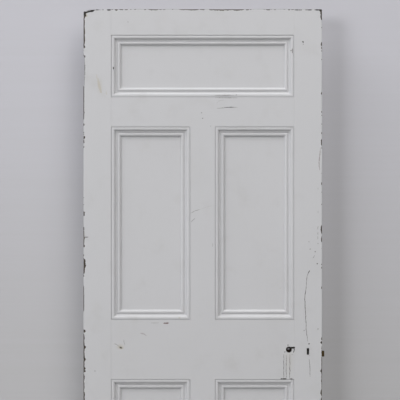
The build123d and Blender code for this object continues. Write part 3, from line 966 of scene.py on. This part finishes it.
# Spots on the seen face: x, z, width, strength
SPOTS = (
    (441.5, 1236, 4.0, 0.4), (407, 1243, 3.6, 0.3), (411, 1215, 4.2, 0.5), (431, 1205, 3.8, 0.6),
    (438.5, 1159, 3.8, 0.85), (388, 903, 3.8, 0.6), (442, 909, 3.4, 0.6), (407, 852, 4.4, 0.8),
    (385, 2000, 3.2, 0.8), (-286, 2085, 3.4, 0.35), (-5, 1737, 3.8, 0.5),
    (0, 1716, 3.8, 0.6), (30, 1686, 3.4, 0.3), (-413, 748, 5.0, 0.25), (326, 847, 4.0, 0.6),
    (314, 821, 4.4, 0.6), (409, 807, 3.0, 0.4),
)
MARK_LIFT = 0.06
MARK_SEED = 200
SPOT_SEED = 300
# A strip's step, its wander to each side and the spacings of its wander and of its ragged edges
STRIP_STEP = 2.5
STRIP_WANDER = 1.6
WANDER_SPACING = 9
RAGGED_SPACING = 3.2

# Pairs of hinge screws: the space between the two, and how far in from the seen face they lie
SCREW_PAIRS = ((84, 12), (34, 23))
SCREW_RADIUS = 2.1
SCREW_SIDES = 20


def mark_dirt_and_shade():
    """Dirt in cracks, and painted shade where a mark lies inside a hole: the mesh says of what
    kind each is and how far it hides the paint.
    """
    paint = bpy.context.scene.door_paint
    recipe = Recipe("dirt and painted shade in marks")
    strength = recipe.node("Attribute", output="Fac", attribute_name="bare")
    kind = recipe.node("Attribute", output="Fac", attribute_name="kind")
    fine = recipe.noise(recipe.object_place(), 260, detail=3)
    colour = recipe.mix(paint.crack, paint.rust, (kind > RED - 0.5).clamp())
    # Dark marks: black dirt and bare wood, and painted shade on the sheet inside the keyhole
    colour = recipe.mix(colour, BLACK_DIRT_AND_SHADE, (kind > DARK - 0.5).clamp())
    colour = recipe.mix(colour, paint.stain, (kind > YELLOW - 0.5).clamp())
    shown = (strength * (0.7 + 0.6 * fine)).clamp()
    return recipe.finish(Base_Color=recipe.mix(paint.paint, colour, shown), Roughness=0.8)


def mark_strip(path, width, seed):
    """A flat strip on the seen face: its half width is a sine of the way along, and ragged.

    Its left side comes before its right, so that its faces look out from the seen side."""
    path = np.array(path, dtype=float)
    steps = np.hypot(*np.diff(path, axis=0).T)
    way = np.concatenate([[0], np.cumsum(steps)])
    along = np.linspace(0, way[-1], max(8, int(way[-1] / STRIP_STEP)))
    wander = STRIP_WANDER * (uneven(along, WANDER_SPACING, seed) - 0.5)
    x = np.interp(along, way, path[:, 0]) + wander
    z = np.interp(along, way, path[:, 1])
    lean = np.stack([np.gradient(x), np.gradient(z)], -1)
    lean /= np.maximum(np.linalg.norm(lean, axis=1, keepdims=True), 1e-6)
    across = np.stack([-lean[:, 1], lean[:, 0]], -1)
    half = width / 2 * np.sin(np.pi * np.linspace(0.04, 0.96, len(along))) ** 0.4
    half = half * (0.5 + 0.8 * uneven(along, RAGGED_SPACING, seed + 1))
    sides = [np.stack([x, z], -1) + sign * half[:, None] * across for sign in (1, -1)]
    return np.stack(sides, 1)


class DOOR_OT_marks(bpy.types.Operator):
    """Cracks, scratches and spots in the paint of the seen face, and painted shade inside the
    keyhole
    """

    bl_idname = "door.marks"
    bl_label = "Marks"

    def execute(self, context):
        strips = [(mark_strip(path, width, MARK_SEED + i), strength, colour, behind)
                  for i, (path, width, strength, colour, behind) in enumerate(MARKS)]
        for i, (x, z, width, strength) in enumerate(SPOTS):
            path = ((x - width * 0.6, z - width / 5), (x + width * 0.6, z + width / 5))
            strip = mark_strip(path, width * 1.2, SPOT_SEED + i)
            strips.append((strip, strength, GREY, 0))
        points, faces, strengths, colours = [], [], [], []
        for strip, strength, colour, behind in strips:
            start = sum(len(part) for part in points)
            flat = strip.reshape(-1, 2)
            y = np.full(len(flat), behind - FACE - MARK_LIFT)
            points.append(np.stack([flat[:, 0], y, flat[:, 1]], -1))
            index = start + np.arange(len(flat)).reshape(-1, 2)
            quads = np.stack([index[:-1, 0], index[:-1, 1], index[1:, 1], index[1:, 0]], -1)
            faces += quads.tolist()
            strengths.append(np.full(len(flat), strength))
            colours.append(np.full(len(flat), colour))
        marks = add_mesh("paint_marks", np.concatenate(points), faces)
        set_values(marks, "bare", np.concatenate(strengths))
        set_values(marks, "kind", np.concatenate(colours))
        marks.data.materials.append(mark_dirt_and_shade())
        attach(marks, "leaf")
        return {"FINISHED"}


class DOOR_OT_screw_holes(bpy.types.Operator):
    """Dark discs of painted shade where the hinge screws left holes"""

    bl_idname = "door.screw_holes"
    bl_label = "Hinge screw holes"

    def execute(self, context):
        turn = np.linspace(0, 2 * np.pi, SCREW_SIDES, endpoint=False)
        across = SCREW_RADIUS * np.cos(turn)
        rise = SCREW_RADIUS * np.sin(turn)
        floor_x = np.full(len(turn), HANGING_EDGE + HINGE_DEPTH - MARK_LIFT)
        points, faces = [], []
        for low, high in HINGE_HOUSINGS:
            middle = (low + high) / 2
            for space, inset in SCREW_PAIRS:
                for side in (-1, 1):
                    z = middle + side * space / 2
                    start = len(points) * len(turn)
                    points.append(np.stack([floor_x, inset - FACE + across, z + rise], -1))
                    faces.append(list(range(start, start + len(turn)))[::-1])
        holes = add_mesh("hinge_screw_holes", np.concatenate(points), faces)
        # Flat discs on the housing floors: painted shade near black with a little dust stands in
        # for the holes' depth
        recipe = Recipe("hole shadow")
        dust = recipe.noise(recipe.object_place(), 900)
        holes.data.materials.append(recipe.finish(
            Base_Color=recipe.mix(SCREW_SHADE, SCREW_DUST, dust), Roughness=0.95))
        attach(holes, "leaf")
        return {"FINISHED"}


# Stage

# The view's middle, across and up, in metres
VIEW_MIDDLE = (-0.0105, 1.403)
# The height that the lamps aim at, and how far off they stand
LAMP_AIM = 1.3
LAMP_DISTANCE = 13.0
COOL = (0.965, 0.98, 1.0)
PLAIN = (1.0, 1.0, 1.0)
WARM = (1.0, 0.99, 0.955)
# Lamps: name, azimuth and elevation in degrees, size in metres, share of the key power, colour
LAMPS = (
    ("key", -43, 12, 5.6, 1.05, COOL),
    ("high_key", -70, 45, 5.6, 1.4, COOL),
    ("fill", 15, 32, 9.0, 0.6, WARM),
    ("high_fill", 25, 60, 8.0, 1.3, PLAIN),
    ("side_fill", 40, 28, 8.0, 0.5, WARM),
    ("rear_fill", 205, 38, 5.6, 1.9, PLAIN),
)
SKY_COLOUR = (0.93, 0.95, 1.0, 1)
# Half the width of the floor and the wall, in millimetres
REACH = 7000.0
# Heights in metres over which the wall darkens, and the stretch of its streaks
WALL_FADE = (2.2, 0.2)
WALL_STREAKS = (0.8, 1, 90)
FLOOR_SCUFF = (0.5, 0.5, 0.5)


def stand_lamp(name, azimuth, elevation, size, power, colour):
    """A round lamp that stands off the leaf at two angles and faces it."""
    light = bpy.data.lights.new(name, "AREA")
    light.shape = "DISK"
    light.size = size
    light.energy = power
    light.color = colour
    made = bpy.data.objects.new(name, light)
    turn = math.radians(azimuth)
    rise = math.radians(elevation)
    away = Vector((math.sin(turn) * math.cos(rise), -math.cos(turn) * math.cos(rise),
                   math.sin(rise)))
    made.location = Vector((0, 0, LAMP_AIM)) + away * LAMP_DISTANCE
    made.rotation_euler = away.to_track_quat("Z", "Y").to_euler()
    bpy.context.scene.collection.objects.link(made)


def wall_paint(look):
    """The wall's paint, which only the camera sees, and only from the front, so that the wall
    hides nothing from behind and stops no light."""
    recipe = Recipe("wall paint")
    place = recipe.object_place()
    low = recipe.axes(place)[2].between(*WALL_FADE)
    streaks = recipe.noise(place, 1, detail=4, stretch=WALL_STREAKS)
    colour = recipe.mix(look.wall, look.low_wall, (low + (streaks - 0.5) * 0.3).clamp())
    diffuse = recipe.node("BsdfDiffuse", {"Color": colour})
    clear = recipe.node("BsdfTransparent", {"Color": (1, 1, 1)})
    seen = recipe.node("LightPath", output="Is Camera Ray")
    behind = recipe.node("NewGeometry", output="Backfacing")
    shown = recipe.node("MixShader", [seen * (1 - behind), clear, diffuse])
    recipe.node("OutputMaterial", {"Surface": shown})
    return recipe.material


def floor_paint(look):
    """The floor's dull finish, a little uneven."""
    recipe = Recipe("floor")
    cloud = recipe.noise(recipe.object_place(), 2.0)
    return recipe.finish(Base_Color=recipe.mix(look.floor, FLOOR_SCUFF, cloud * 0.15),
                         Roughness=0.7)


class DOOR_OT_stage(bpy.types.Operator):
    """Camera, lamps, wall and floor"""

    bl_idname = "door.stage"
    bl_label = "Stage"

    def execute(self, context):
        look = context.scene.door_stage
        scene = context.scene
        scene.view_settings.view_transform = "Standard"

        camera = bpy.data.cameras.new("camera")
        camera.sensor_width = 36
        camera.lens = camera.sensor_width * look.camera_distance / look.picture_width
        viewer = bpy.data.objects.new("camera", camera)
        viewer.location = (VIEW_MIDDLE[0], -look.camera_distance, VIEW_MIDDLE[1])
        viewer.rotation_euler = (math.pi / 2, 0, 0)
        scene.collection.objects.link(viewer)
        scene.camera = viewer

        for name, azimuth, elevation, size, share, colour in LAMPS:
            stand_lamp(name, azimuth, elevation, size, share * look.key_power, colour)

        world = bpy.data.worlds.new("surroundings")
        world.use_nodes = True
        background = world.node_tree.nodes["Background"]
        background.inputs["Color"].default_value = SKY_COLOUR
        background.inputs["Strength"].default_value = look.sky
        scene.world = world

        at = FACE + look.wall_gap / MM
        corners = ((-1, 0), (1, 0), (1, 1), (-1, 1))
        wall = add_mesh("wall", [(REACH * x, at, REACH * z) for x, z in corners],
                        [range(4)])
        wall.data.materials.append(wall_paint(look))
        floor = add_mesh("floor", [(REACH * x, REACH * (2 * y - 1), 0) for x, y in corners],
                         [range(4)])
        floor.data.materials.append(floor_paint(look))
        return {"FINISHED"}


# Panel and registration

OPERATORS = (
    DOOR_OT_hanging_stile, DOOR_OT_closing_stile, DOOR_OT_top_rail, DOOR_OT_framing,
    DOOR_OT_panels, DOOR_OT_mouldings, DOOR_OT_lock, DOOR_OT_marks, DOOR_OT_screw_holes,
    DOOR_OT_stage,
)
GROUPS = {
    "door_paint": DoorPaint, "door_metal": DoorMetal, "door_wear": DoorWear,
    "door_stage": DoorStage,
}


class DOOR_PT_panel(bpy.types.Panel):
    """The door's sizes, colours and steps"""

    bl_idname = "DOOR_PT_panel"
    bl_label = "Door"
    bl_space_type = "VIEW_3D"
    bl_region_type = "UI"
    bl_category = "Door"

    def draw(self, context):
        for group, kind in GROUPS.items():
            box = self.layout.box()
            for name in kind.__annotations__:
                box.prop(getattr(context.scene, group), name)
        for operator in OPERATORS:
            self.layout.operator(operator.bl_idname)


def register():
    for kind in (*GROUPS.values(), *OPERATORS, DOOR_PT_panel):
        bpy.utils.register_class(kind)
    for name, kind in GROUPS.items():
        setattr(bpy.types.Scene, name, bpy.props.PointerProperty(type=kind))


def unregister():
    for name in GROUPS:
        delattr(bpy.types.Scene, name)
    for kind in reversed((*GROUPS.values(), *OPERATORS, DOOR_PT_panel)):
        bpy.utils.unregister_class(kind)


def main():
    register()
    make_materials()
    for operator in OPERATORS:
        group, name = operator.bl_idname.split(".")
        getattr(getattr(bpy.ops, group), name)()


if __name__ == "__main__":
    main()
